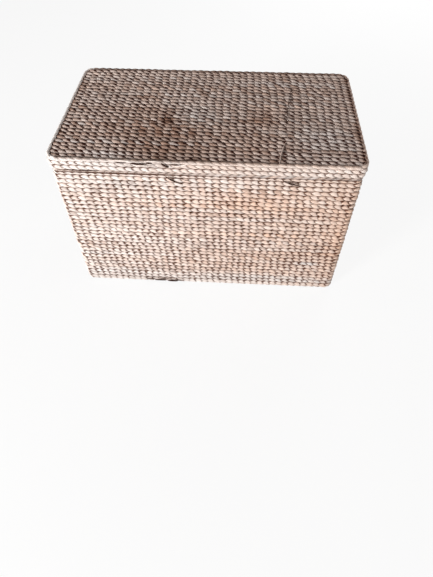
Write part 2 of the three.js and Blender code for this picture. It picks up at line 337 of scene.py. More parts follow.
# Marks seen in the photo: middle and reach in mm, change of tone and change of warmth.
# On the walls and the skirt a place is (x, z), on the top it is (x, y).
FRONT_MARKS = (
    ((110, 357), (110, 26), -0.03, 0.36),
    ((380, 250), (40, 190), -0.03, 0.26),
    ((250, 330), (130, 120), 0.0, 0.12),
    ((303, 114), (26, 9), -0.05, -0.9),
    ((-223, 398), (70, 9), -0.20, -0.25),
    # Painted shadow of the gaps along the foot of the front
    ((-145, 10), (75, 9), -0.35, -0.3),
    ((0, 20), (420, 30), -0.02, -0.35),
    ((0, 160), (250, 140), -0.035, 0.12),
    ((-20, 180), (80, 30), -0.09, 0.0),
    ((60, 300), (60, 7), -0.10, 0.1),
)
SKIRT_MARKS = (
    ((-150, 468), (80, 10), -0.25, -0.3),
    ((-250, 450), (160, 40), -0.06, -0.25),
    ((0, 460), (160, 60), -0.04, 0.05),
    ((330, 460), (140, 60), 0.04, -0.1),
)
TOP_MARKS = (
    ((-105, -150), (120, 80), -0.20, 0.10),
    ((-150, -40), (110, 50), -0.10, 0.15),
    ((110, -150), (100, 80), 0.0, 0.18),
    ((-310, -140), (80, 80), 0.04, 0.06),
    ((131, -31), (44, 24), -0.16, 0.26),
    ((175, -215), (22, 25), -0.28, 0.05),
    ((-257, -76), (16, 11), -0.35, 0.0),
    ((-115, -42), (18, 14), -0.35, 0.0),
    ((-23, 94), (14, 14), -0.30, 0.0),
    ((-206, 66), (16, 12), -0.22, 0.1),
    ((-171, 65), (28, 45), -0.02, 0.2),
    ((160, 5), (30, 40), 0.0, 0.2),
    ((-35, -10), (50, 30), 0.10, -0.45),
    ((290, -100), (60, 60), 0.05, -0.30),
    ((-240, -200), (50, 30), 0.10, -0.35),
)


def mark_sum(marks, across, along):
    """Changes of tone and warmth that soft round marks make at those places."""
    tone = np.zeros_like(across)
    warm = np.zeros_like(across)
    for (mark_across, mark_along), (reach_across, reach_along), tone_change, warm_change in marks:
        far_across = (across - mark_across * MM) / (reach_across * MM)
        far_along = (along - mark_along * MM) / (reach_along * MM)
        weight = np.exp(-(far_across ** 2 + far_along ** 2))
        tone += tone_change * weight
        warm += warm_change * weight
    return tone, warm


# Colours of the stems. Tone runs from 0, dark, to 1, pale, and warmth from 0, grey, to 1, orange.
STEM_LENGTH = 14
STEM_TONES = 0.07
STITCH_TONES = 0.05
STEM_WARMTH = 0.13
WALL_TONE = 0.672
WALL_TONE_RIGHT = 0.01
WALL_TONE_RISE = 0.05
WALL_WARMTH = 0.32
WALL_WARMTH_RIGHT = 0.18
PANEL_TONE = 0.595
PANEL_TONE_BACK = 0.02
PANEL_WARMTH = 0.27

# Level panels: the top lies inside the lid's edge, with painted shade for the groove at its left and
# right ends
TOP_INSET_X = 7 * MM
TOP_INSET_Y = 7.5 * MM
TOP_HALF_X = HALF_WIDTH - TOP_INSET_X
TOP_HALF_Y = HALF_DEPTH - TOP_INSET_Y
CORNER_TRIM = 0.018
GROOVE_REACH = 6 * MM
GROOVE_SHADE = 0.45
GROOVE_SHADE_LEFT = 0.4


def own_colours(stitch, patch=1):
    """How a stem's tone and warmth stray along it; its tone changes every patch of stitches."""
    tone = STEM_TONES * drift(stitch, STEM_LENGTH) + STITCH_TONES * drift(stitch, patch)
    warm = STEM_WARMTH * drift(stitch, STEM_LENGTH)
    return tone, warm


def wall_colours(centre, stitch, marks):
    """Tone and warmth along one stem of the walls: paler upwards, warmer to the right."""
    tone_mark, warm_mark = mark_sum(marks, centre[:, 0], centre[:, 2])
    front = centre[:, 1] < -HALF_DEPTH / 2
    side = centre[:, 0] / HALF_WIDTH
    rise = centre[:, 2] / TOP - 0.5
    own_tone, own_warm = own_colours(stitch)
    tone = WALL_TONE + WALL_TONE_RIGHT * side + WALL_TONE_RISE * rise + own_tone
    warm = WALL_WARMTH + WALL_WARMTH_RIGHT * side + own_warm
    return tone + tone_mark * front, warm + warm_mark * front


def panel_colours(centre, stitch, marks):
    """Tone and warmth along one stem of a level panel."""
    tone_mark, warm_mark = mark_sum(marks, centre[:, 0], centre[:, 1])
    # Painted shade along the groove at each end of the top
    groove = bell(TOP_HALF_X - np.abs(centre[:, 0]), GROOVE_REACH)
    groove *= np.where(centre[:, 0] > 0, GROOVE_SHADE, GROOVE_SHADE_LEFT)
    own_tone, own_warm = own_colours(stitch)
    tone = PANEL_TONE + PANEL_TONE_BACK * centre[:, 1] / HALF_DEPTH - groove + own_tone
    return tone + tone_mark, PANEL_WARMTH + own_warm + warm_mark


# How each kind of course is laid: a stem's thickness as a share of the weave's (pad), its height at a
# crossing as a share of that at a stake (pinch) and its climb as a share of the course (slant).
# Then how strong the painted shade is where it tucks under (tuck), how far that shade reaches, and how
# strong the painted shade on its upper side and painted highlight on its lower side are (fade).
WALL_WEAVE = {"pad": 0.76, "pinch": 0.64, "slant": 0.16, "tuck": 1.2, "reach": 0.23, "fade": 0.06}
SKIRT_WEAVE = {"pad": 0.76, "pinch": 0.64, "slant": 0.18, "tuck": 1.05, "reach": 0.22, "fade": 0.04}
EDGE_WEAVE = {"pad": 0.76, "pinch": 0.64, "slant": 0.18, "tuck": 0.5, "reach": 0.22, "fade": 0.0}
FLOOR_WEAVE = {"pad": 0.76, "pinch": 0.85, "slant": 0.2, "tuck": 1.2, "reach": 0.23, "fade": 0.0}
TOP_WEAVE = {"pad": 0.72, "pinch": 0.78, "slant": 0.2, "tuck": 3.0, "reach": 0.29, "fade": 0.25}


def twined_stem(strand, stitch, point, out, up, height, half_thick, colours, marks, free, weave):
    """One of the two stems of a course, outside at every other stake and inside between."""
    phase = math.pi * (stitch + strand)
    swing = np.cos(phase)
    flat = np.abs(swing)
    number = np.mod(stitch, LOOP_STITCHES)
    from_post = np.min([np.abs(number - post) for post in POST_STITCHES], axis=0)
    thin = 1 - POST_THINNING * bell(from_post, POST_REACH)
    size = 1 + SIZE_SPREAD * free * drift(stitch, 1)
    pad = half_thick * weave["pad"] * thin
    crest = half_thick * (1 + LIFT_SPREAD * free * drift(stitch, 1))
    lift = (crest - pad) * np.sign(swing) * flat ** SWING_POWER
    steep = np.sin(phase)
    slant = weave["slant"] * (1 + LEAN_SPREAD * free * drift(stitch, 1))
    climb = -slant * height * np.sign(steep) * np.abs(steep) ** CLIMB_POWER
    centre = point + out * lift[:, None] + up * climb[:, None]
    half_out = pad * (CROSS_SWELL + (1 - CROSS_SWELL) * flat)
    pinch = weave["pinch"]
    half_up = PAD_REACH * height * size * (pinch + (1 - pinch) * flat ** TAPER_POWER)
    tone, warm = colours(point, stitch, marks)
    along = np.mod(stitch + strand, 2)
    # Painted shade beside the tail and the head, where the stem tucks under the next
    tuck = bell(along - TAIL_PLACE, weave["reach"]) + bell(along - HEAD_PLACE, weave["reach"])
    tuck *= weave["tuck"] * (1 + TUCK_SPREAD * drift(stitch, 1))
    return Stem(centre, up, half_out, half_up, lift, half_thick, tuck, tone, warm, weave["fade"])


def course_edge(row, rows):
    """How free a course is to stray: less beside the borders."""
    return np.clip((np.minimum(row, rows - 1 - row) + 0.5) / EDGE_COURSES, 0, 1)


def wall_course(row, rows, low, high, marks, weave):
    """The two stems of a course round the walls, with one more stitch before the front."""
    height = (high - low) / rows
    stitch = np.linspace(-1, LOOP_STITCHES, (LOOP_STITCHES + 1) * STEPS + 1)
    free = course_edge(row, rows)
    stray = waves(stitch, row, COLUMN_WAVES) + PLACE_SPREAD * drift(stitch, PLACE_PATCH)
    run = WALL_LOOP.run_of_stitch(stitch + free * stray)
    level = low + height * (row + 0.5) + free * waves(stitch, row, COURSE_WAVES)
    point, out = WALL_LOOP.at(run, level)
    up = np.broadcast_to(UP, point.shape)
    for strand in (0, 1):
        yield twined_stem(
            strand, stitch, point, out, up, height,
            HALF_WALL, wall_colours, marks, free, weave,
        )


# First and last stitch of each wall: the long walls reach half a stitch past their posts
WALL_CUTS = {
    "front": (-0.5, 39.5),
    "right": (39.5, 59.5),
    "back": (59.5, 99.5),
    "left": (99.5, 119.5),
}
LONG_WALLS = ("front", "back")
SHORT_WALLS = ("left", "right")
STRAND_LETTERS = "ab"


def cut_for_wall(stem, wall):
    """The part of a stem that lies on one wall."""
    first, last = WALL_CUTS[wall]
    return stem.part(round((first + 1) * STEPS), round((last + 1) * STEPS))


# Room for the hinge rings, which reach into the top course of the back and the low one of the lid
RING_ROOM = 2 * MM
RING_LEAN = 0.8
RING_CLEARANCE_BELOW = 5.7 * MM
RING_CLEARANCE_ABOVE = 8.3 * MM


def leave_ring_room(stem, side):
    """Presses a stem away from the hinge rings at the back: side is -1 for the wall, 1 for the lid."""
    x, y, z = (stem.rings[..., axis] for axis in range(3))
    beside = np.maximum(0, np.abs(np.abs(x) - RING_X) - RING_ROOM) * RING_LEAN
    if side < 0:
        pressed = np.minimum(z, RIM_HEIGHT - RING_CLEARANCE_BELOW + beside)
    else:
        pressed = np.maximum(z, LID_BORDER_HEIGHT + RING_CLEARANCE_ABOVE - beside)
    stem.rings[..., 2] = np.where(y > 0, pressed, z)


# The walls: courses reach a little into the borders, and the lower ones get more painted shade where
# they tuck under
BORDER_OVERLAP = 2.2 * MM
LOW_TUCK_SHADE = 0.2


def build_walls(material):
    """The four walls of the box; the long ones are two pieces, one for each stem of a course."""
    bundles = {(wall, strand): Bundle() for wall in LONG_WALLS for strand in (0, 1)}
    for wall in SHORT_WALLS:
        bundles[wall, 0] = Bundle()
        bundles[wall, 1] = bundles[wall, 0]
    low = WALL_LOW - BORDER_OVERLAP
    high = WALL_HIGH + BORDER_OVERLAP
    for row in range(WALL_COURSES):
        # Lower courses get stronger painted shade where they tuck under
        tuck_shade_gain = 1 + LOW_TUCK_SHADE * (1 - row / WALL_COURSES)
        weave = dict(WALL_WEAVE, tuck=tuck_shade_gain * WALL_WEAVE["tuck"])
        for strand, stem in enumerate(wall_course(row, WALL_COURSES, low, high, FRONT_MARKS, weave)):
            if row == WALL_COURSES - 1:
                leave_ring_room(stem, -1)
            for wall in WALL_CUTS:
                bundles[wall, strand].add(cut_for_wall(stem, wall))
    for wall in LONG_WALLS:
        for strand, letter in enumerate(STRAND_LETTERS):
            name = wall + "_twine_" + letter
            bundles[wall, strand].piece(name, material, "box", "pale_stem", [wall + "_weave"])
    for wall in SHORT_WALLS:
        bundles[wall, 0].piece(wall + "_twine", material, "box", "pale_stem", [wall + "_weave"])


# The lid has sagged: its ends spread by a share of its width, in full from a share of its height up
LID_FLARE = 0.009
FLARE_RISE = 0.5


def flare_lid(bundle):
    """Spreads the ends of the lid a little above its border and towards its front."""
    for stem in bundle.stems:
        rise = (stem.rings[..., 2] - SKIRT_LOW) / (FLARE_RISE * (TOP - SKIRT_LOW))
        front = 0.5 - 0.5 * stem.rings[..., 1] / HALF_DEPTH
        stem.rings[..., 0] *= 1 + LID_FLARE * np.clip(rise, 0, 1) * front


SKIRT_NODES = ["lid_" + wall + "_weave" for wall in WALL_CUTS]


def build_skirt(material):
    """The two courses round the side of the lid."""
    bundle = Bundle()
    high = SKIRT_HIGH + BORDER_OVERLAP
    for row in range(SKIRT_COURSES):
        for stem in wall_course(row, SKIRT_COURSES, SKIRT_LOW, high, SKIRT_MARKS, SKIRT_WEAVE):
            if row == 0:
                leave_ring_room(stem, 1)
            for wall in WALL_CUTS:
                bundle.add(cut_for_wall(stem, wall))
    flare_lid(bundle)
    bundle.piece("lid_skirt_twine", material, "lid", "pale_stem", SKIRT_NODES)


# Stakes, which the courses are twined round
STAKE_HALF_WIDE = 5.5 * MM
STAKE_HALF_THICK = 2.2 * MM
STAKE_TONE = 0.5
STAKE_WARMTH = 0.3
SKIRT_STAKE_START = 6 * MM


def stake(centre, across, half_weave):
    """One stake inside the weave, seen only between the courses."""
    still = np.zeros(len(centre))
    tone = still + STAKE_TONE + STEM_TONES * RANDOM.standard_normal()
    wide = still + STAKE_HALF_WIDE
    thick = still + STAKE_HALF_THICK
    # Lying in the middle of the weave, the stake takes the painted crevice shade
    return Stem(centre, across, thick, wide, still, half_weave, still, tone, still + STAKE_WARMTH)


class Panel:
    """A level woven panel: its courses run along X and end in its edges, and its stakes run along Y."""

    def __init__(self, rows, stitches, half_x, half_y, low, high):
        self.rows = rows
        self.stitches = stitches
        self.half_x = half_x
        self.half_y = half_y
        self.level = (low + high) / 2
        self.half_thick = (high - low) / 2

    def end_freedom(self, stitch):
        """How free a stitch is to stray: less beside the ends of its course."""
        return np.clip(np.minimum(stitch, self.stitches - stitch) / END_STITCHES, 0, 1)

    def course(self, row, marks, weave):
        """The two stems of a course; the first and last courses are shorter, for the round corners."""
        height = 2 * self.half_y / self.rows
        pitch = 2 * self.half_x / self.stitches
        stitch = np.linspace(0, self.stitches, self.stitches * STEPS + 1)
        stitch = np.concatenate(([-1 / STEPS], stitch, [self.stitches + 1 / STEPS]))
        free = course_edge(row, self.rows)
        stray = waves(stitch, row, COLUMN_WAVES) + PLACE_SPREAD * drift(stitch, PLACE_PATCH)
        x = -self.half_x + pitch * (stitch + free * (stray * self.end_freedom(stitch)))
        if row in (0, self.rows - 1):
            x *= 1 - CORNER_TRIM
        y = -self.half_y + height * (row + 0.5) + free * waves(stitch, row, COURSE_WAVES)
        point = np.column_stack((x, y, np.full_like(x, self.level)))
        out = np.broadcast_to(UP, point.shape)
        up = np.broadcast_to(BACK, point.shape)
        for strand in (0, 1):
            yield twined_stem(
                strand, stitch + 0.5, point, out, up, height,
                self.half_thick, panel_colours, marks, free, weave,
            )

    def courses(self, marks, weave):
        """Two bundles, one for each stem of a course."""
        bundles = (Bundle(), Bundle())
        for row in range(self.rows):
            for bundle, stem in zip(bundles, self.course(row, marks, weave)):
                bundle.add(stem)
        return bundles

    def stakes(self):
        """A bundle of the stakes, one at the middle of each stitch."""
        bundle = Bundle()
        row = np.arange(self.rows + 1) - 0.5
        y = -self.half_y + 2 * self.half_y * (row + 0.5) / self.rows
        free = course_edge(row, self.rows)
        for number in range(self.stitches):
            stitch = np.full_like(row, number + 0.5)
            stray = waves(stitch, row, COLUMN_WAVES) * self.end_freedom(stitch)
            x = self.half_x * (2 * (stitch + free * stray) / self.stitches - 1)
            point = np.column_stack((x, y, np.full_like(x, self.level)))
            bundle.add(stake(point, np.broadcast_to(RIGHT, point.shape), self.half_thick))
        return bundle


TOP_PANEL = Panel(TOP_COURSES, TOP_STITCHES, TOP_HALF_X, TOP_HALF_Y, PANEL_LOW, PANEL_HIGH)
FLOOR_PANEL = Panel(FLOOR_COURSES, FLOOR_STITCHES, FLOOR_HIGH.x, FLOOR_HIGH.y, FLOOR_LOW.z, FLOOR_HIGH.z)


def build_top(material):
    """The woven top of the lid, inside its edge; one piece for each stem of a course."""
    for letter, bundle in zip(STRAND_LETTERS, TOP_PANEL.courses(TOP_MARKS, TOP_WEAVE)):
        flare_lid(bundle)
        bundle.piece("lid_top_twine_" + letter, material, "lid", "weathered_stem", ["lid_top_weave"])


def build_floor_panel(material):
    """The woven floor of the box; one piece for each stem of a course."""
    for letter, bundle in zip(STRAND_LETTERS, FLOOR_PANEL.courses((), FLOOR_WEAVE)):
        bundle.piece("floor_twine_" + letter, material, "box", "pale_stem", ["base_weave"])


def wall_stakes(rows, low, high):
    """The stakes round the walls between two heights, one at each stitch that has no post."""
    bundle = Bundle()
    row = np.arange(rows + 1) - 0.5
    level = low + (high - low) * (row + 0.5) / rows
    free = course_edge(row, rows)
    for number in range(LOOP_STITCHES):
        if number not in POST_STITCHES:
            stitch = np.full_like(row, number)
            stitch += free * waves(stitch, row, COLUMN_WAVES)
            point, out = WALL_LOOP.at(WALL_LOOP.run_of_stitch(stitch), level)
            bundle.add(stake(point, np.cross(UP, out), HALF_WALL))
    return bundle


def build_stakes(pale, weathered):
    """The stakes that the courses are twined round."""
    walls = wall_stakes(WALL_COURSES, WALL_LOW, WALL_HIGH)
    walls.piece("wall_stakes", pale, "box", "pale_stem", [wall + "_weave" for wall in WALL_CUTS])
    skirt = wall_stakes(SKIRT_COURSES, SKIRT_LOW + SKIRT_STAKE_START, SKIRT_HIGH)
    flare_lid(skirt)
    skirt.piece("lid_skirt_stakes", pale, "lid", "pale_stem", SKIRT_NODES)
    FLOOR_PANEL.stakes().piece("floor_stakes", pale, "box", "pale_stem", ["base_weave"])
    top = TOP_PANEL.stakes()
    flare_lid(top)
    top.piece("lid_top_stakes", weathered, "lid", "weathered_stem", ["lid_top_weave"])


# Borders: courses wrap the rods of the base and the rim, and flat stems bind the lid's rod
BASE_COURSE_HEIGHT = 9.4 * MM
RIM_COURSE_HEIGHT = 7.8 * MM
RIM_HALF_THICK = 3.4 * MM
BORDER_FREEDOM = 0.6
BINDING_STEP = 6 * MM
BINDING_STEMS = 3
BINDING_LAY = 60 * MM
BINDING_HALF_THICK = 1.3 * MM
BINDING_HALF_WIDE = 3.4 * MM
BINDING_SHADE_REACH = 2.4
BINDING_TONE = 0.55
BINDING_WARMTH = 0.3
BINDING_SIZE_PATCH = 3
BINDING_TONE_PATCH = 2

# Painted shade darkens the borders where they meet the seam between box and lid, most where it gapes
SEAM_SHADE = 1.8
SEAM_START = 0.3
SEAM_SHADE_LEAST = 0.15
SEAM_PLACE = -205 * MM
SEAM_REACH = 120 * MM


def shade_seam(stem, height, radius, side):
    """Painted shade on the side of a border that meets the seam: side is 1 with the seam above, -1
    below.
    """
    facing = side * (stem.rings[..., 2] - height) / radius
    gaping = SEAM_SHADE_LEAST + (1 - SEAM_SHADE_LEAST) * bell(stem.rings[..., 0] - SEAM_PLACE, SEAM_REACH)
    stem.shade[..., 2] -= SEAM_SHADE * gaping * np.clip(facing - SEAM_START, 0, 1)


def border_course(loop, level, lean, height, half_thick, marks, weave):
    """The two stems of a course along a whole loop; lean tips its face upwards."""
    stitch = np.linspace(0, LOOP_STITCHES, LOOP_STITCHES * STEPS + 1)
    point, facing = loop.at(loop.run_of_stitch(stitch), level)
    out = unit(facing + lean * UP)
    up = unit(UP - lean * facing)
    for strand in (0, 1):
        yield twined_stem(
            strand, stitch, point, out, up, height,
            half_thick, wall_colours, marks, BORDER_FREEDOM, weave,
        )


def build_base_border(material, nodes):
    """The course that wraps the rod at the foot of the walls, pressed flat by the floor."""
    bundle = Bundle()
    size = (BASE_COURSE_HEIGHT, BORDER_RADIUS)
    for stem in border_course(WALL_LOOP, BASE_BORDER_HEIGHT, 0, *size, FRONT_MARKS, WALL_WEAVE):
        stem.rings[..., 2] = np.maximum(stem.rings[..., 2], 0)
        bundle.add(stem)
    bundle.piece("base_border_twine", material, "box", "binding", nodes)


def free_of_rings(stem):
    """The runs of a border stem that are left between the hinge rings."""
    middle_points = stem.rings.mean(axis=1)
    near, far = BACK_RUN_ENDS
    beside = np.abs(middle_points[:, 0])
    blocked = (middle_points[:, 1] > 0) & (beside > near) & (beside < far)
    changes = np.flatnonzero(np.diff(blocked.astype(int)))
    starts = [0, *(changes[1::2] + 1)]
    ends = [*changes[0::2], len(blocked) - 1]
    return [stem.part(first, last) for first, last in zip(starts, ends)]


def build_rim_border(material, nodes):
    """The course that wraps the rod at the mouth of the box, with painted shade where the lid meets it.
    """
    bundle = Bundle()
    size = (RIM_COURSE_HEIGHT, RIM_HALF_THICK)
    for stem in border_course(WALL_LOOP, RIM_HEIGHT, 0, *size, FRONT_MARKS, WALL_WEAVE):
        shade_seam(stem, RIM_HEIGHT, RIM_HALF_THICK, 1)
        for run in free_of_rings(stem):
            bundle.add(run)
    bundle.piece("rim_border_twine", material, "box", "binding", nodes)


def run_between(first_x, last_x):
    """Running lengths round the walls from first_x to last_x, both on the back."""
    back_middle = WALL_LOOP.run_of_stitch((POST_STITCHES[2] + POST_STITCHES[3]) / 2)
    first = back_middle - first_x
    last = back_middle - last_x
    if last <= first:
        last += WALL_LOOP.length
    return np.linspace(first, last, round((last - first) / BINDING_STEP) + 1)


def wound_stems(run):
    """The flat stems laid in a long twist along one run of the lid's rod."""
    point, out = WALL_LOOP.at(run, LID_BORDER_HEIGHT)
    stitch = run / WALL_LOOP.length * LOOP_STITCHES
    twist_radius = BORDER_RADIUS - BINDING_HALF_THICK
    still = np.zeros_like(run)
    # How far across the flat stems the painted crevice shade reaches
    shade_reach = BINDING_SHADE_REACH * BINDING_HALF_THICK
    for number in range(BINDING_STEMS):
        turn = 2 * math.pi * (run / BINDING_LAY + number / BINDING_STEMS)
        cosine = np.cos(turn)[:, None]
        sine = np.sin(turn)[:, None]
        centre = point + (out * cosine + UP * sine) * twist_radius
        across = UP * cosine - out * sine
        size = 1 + SIZE_SPREAD * drift(stitch, BINDING_SIZE_PATCH)
        own_tone, own_warm = own_colours(stitch, BINDING_TONE_PATCH)
        half_sizes = (BINDING_HALF_THICK * size, BINDING_HALF_WIDE * size)
        colours = (BINDING_TONE + own_tone, BINDING_WARMTH + own_warm)
        yield Stem(centre, across, *half_sizes, still, shade_reach, still, *colours)


def build_lid_binding(material, nodes):
    """Flat stems wound along the lid's rod, broken at the hinge rings."""
    bundle = Bundle()
    near, far = BACK_RUN_ENDS
    for run in (run_between(near, -near), run_between(-far, far)):
        for stem in wound_stems(run):
            # Painted shade on the lower side of the binding, where it meets the seam
            shade_seam(stem, LID_BORDER_HEIGHT, BORDER_RADIUS, -1)
            bundle.add(stem)
    bundle.piece("lid_binding", material, "lid", "binding", nodes)


# The course over the lid's top edge; weathering darkens its upper side, and its left end has a painted
# highlight with less painted crevice shade, where light from the left falls on it
EDGE_INSET = 3.2 * MM
EDGE_DROP = 4.8 * MM
EDGE_CORNER = 27 * MM
EDGE_HEIGHT = 11 * MM
EDGE_HALF_THICK = 4.2 * MM
EDGE_LEAN = 0.55
EDGE_WEATHERING = 0.5
EDGE_END_WEATHERING = 0.12
EDGE_TONE = -0.04
EDGE_LEFT_HIGHLIGHT = 0.18
EDGE_LEFT_LESS_SHADE = 0.5


def build_lid_edge(material):
    """The course that rolls over the top edge of the lid, weathered on its upper side."""
    bundle = Bundle()
    level = TOP - EDGE_DROP
    loop = Loop(EDGE_INSET, EDGE_CORNER)
    size = (EDGE_HEIGHT, EDGE_HALF_THICK)
    for stem in border_course(loop, level, EDGE_LEAN, *size, SKIRT_MARKS, EDGE_WEAVE):
        at_end = np.abs(stem.rings[..., 0]) > HALF_WIDTH - EDGE_CORNER
        weathering = np.where(at_end, EDGE_END_WEATHERING, EDGE_WEATHERING)
        height = np.clip((stem.rings[..., 2] - level) / EDGE_DROP, 0, 1)
        at_left = stem.rings[..., 0] < EDGE_CORNER - HALF_WIDTH
        # Painted highlight on the left end, with less painted crevice shade
        stem.shade[..., 0] += EDGE_TONE - weathering * height + EDGE_LEFT_HIGHLIGHT * at_left
        stem.shade[..., 2] += EDGE_LEFT_LESS_SHADE * at_left
        bundle.add(stem)
    flare_lid(bundle)
    bundle.piece("lid_edge_twine", material, "lid", "pale_stem")


# Broken and loose strands seen in the photo: three points of a curve, half width, tone and depth, which
# sets the painted crevice shade.
# In mm: along X and Z on the front, along X and Y on the top, and the stand-off from it.
BOX_STRANDS = (
    ((-101, 434, 0), (-90, 422, 4), (-58, 410, 0), 1.6, 0.15, -0.25),
    ((-94, 431, -1), (-80, 428, 1), (-56, 427, 0), 0.9, 0.25, -0.1),
    ((-60, 425, -1), (-48, 420, 1), (-30, 421, -1), 0.8, 0.3, 0.0),
    ((196, 432, 0), (212, 424, 4), (240, 417, 0), 1.6, 0.15, -0.25),
    ((208, 431, 0), (222, 428, 3), (242, 422, 0), 1.2, 0.3, 0.0),
    # Dark strands along the foot of the front: broken strands, and painted shadow of the gaps beside
    # them
    ((-208, 15, -1), (-192, 10, 1.5), (-172, 14, -1), 1.4, 0.0, -0.25),
    ((-176, 6, -1), (-160, 11, 1.5), (-140, 6, -1), 2.0, 0.0, -0.25),
    ((-158, 17, -1), (-146, 12, 1.5), (-128, 16, -1), 1.2, 0.1, -0.2),
    ((-134, 5, -1), (-120, 9, 2), (-101, 4, -1), 2.2, 0.0, -0.25),
    ((-112, 14, -1), (-98, 9, 1.5), (-80, 11, -1), 1.4, 0.0, -0.25),
)
LID_FRONT_STRANDS = (
    # The dark ones are broken strands that also stand in for shadowed holes and the dark line above the
    # lid's binding: partly painted shade
    ((-224, 471, 0), (-210, 474, 5), (-196, 471, 0), 1.5, 0.1, -0.25),
    ((-186, 470, 0), (-170, 472, 5.5), (-152, 468, 0), 2.2, 0.1, -0.25),
    ((-147, 473, 0), (-139, 475, 5.5), (-130, 473, 0), 1.7, 0.1, -0.25),
    ((-109, 474, 0), (-101, 468, 5.5), (-90, 462, 0), 2.2, 0.1, -0.25),
    ((-92, 471, 0), (-76, 472, 5), (-58, 469, 0), 1.4, 0.2, -0.1),
    ((-372, 443.5, -1), (-325, 443, 0.5), (-276, 442.5, -1), 0.9, 0.15, -0.15),
    ((-240, 476, 0), (-215, 481, 4), (-186, 477, 0), 1.5, 0.85, 1.0),
    ((-176, 464, 0), (-155, 467, 4), (-134, 464, 0), 1.5, 0.85, 1.0),
    ((-150, 477, 0), (-128, 481, 4), (-104, 477, 0), 1.5, 0.8, 1.0),
    ((-84, 463, 0), (-60, 470, 5), (-36, 474, 0), 1.5, 0.85, 1.0),
)
TOP_STRANDS = (
    ((183, -222, -1), (186, -180, 1.5), (201, -130, -1), 1.4, 0.75, 1.0),
    ((205, -62, -0.5), (211, 40, 0.5), (229, 140, -0.5), 0.8, 0.15, 0.0),
    ((-60, -219, -1), (-35, -216, 1), (-10, -219, -1), 1.0, 0.2, 0.0),
)
STRAND_STEPS = 12
STRAND_END = 0.25
STRAND_WARMTH = 0.3

# Faces that strands lie on: an origin, and the directions across, along and out
FRONT_FACE = (-HALF_DEPTH * BACK, np.array((RIGHT, UP, -BACK)))
TOP_FACE = (TOP * UP, np.array((RIGHT, BACK, UP)))


def loose_strand(strand, face):
    """One loose strand: a bent, tapered fibre that lies on the weave with its ends tucked in."""
    origin, directions = face
    points = origin + (MM * np.array(strand[:3])) @ directions
    half, tone, depth = strand[3:]
    t = np.linspace(0, 1, STRAND_STEPS)
    weights = np.column_stack(((1 - t) ** 2, 2 * t * (1 - t), t ** 2))
    centre = weights @ points
    width = half * MM * (STRAND_END + (1 - STRAND_END) * np.sqrt(np.sin(math.pi * t)))
    up = np.broadcast_to(np.cross(directions[2], centre[-1] - centre[0]), centre.shape)
    still = np.zeros_like(t)
    stem = Stem(centre, up, width, width, still, half * MM, still, still + tone, still + STRAND_WARMTH)
    # The depth from the table sets the painted crevice shade
    stem.shade[..., 2] = depth
    return stem


def build_loose_strands(pale, weathered):
    """Broken strands at the seam and the edges, and loose ones on the top."""
    groups = (
        ("box_loose_strands", pale, "box", "pale_stem", BOX_STRANDS, FRONT_FACE),
        ("lid_loose_strands", pale, "lid", "pale_stem", LID_FRONT_STRANDS, FRONT_FACE),
        ("top_loose_strands", weathered, "lid", "weathered_stem", TOP_STRANDS, TOP_FACE),
    )
    for name, material, body, slot, strands, face in groups:
        bundle = Bundle()
        for strand in strands:
            bundle.add(loose_strand(strand, face))
        bundle.piece(name, material, body, slot)


# Materials
SHADER = "Principled BSDF"


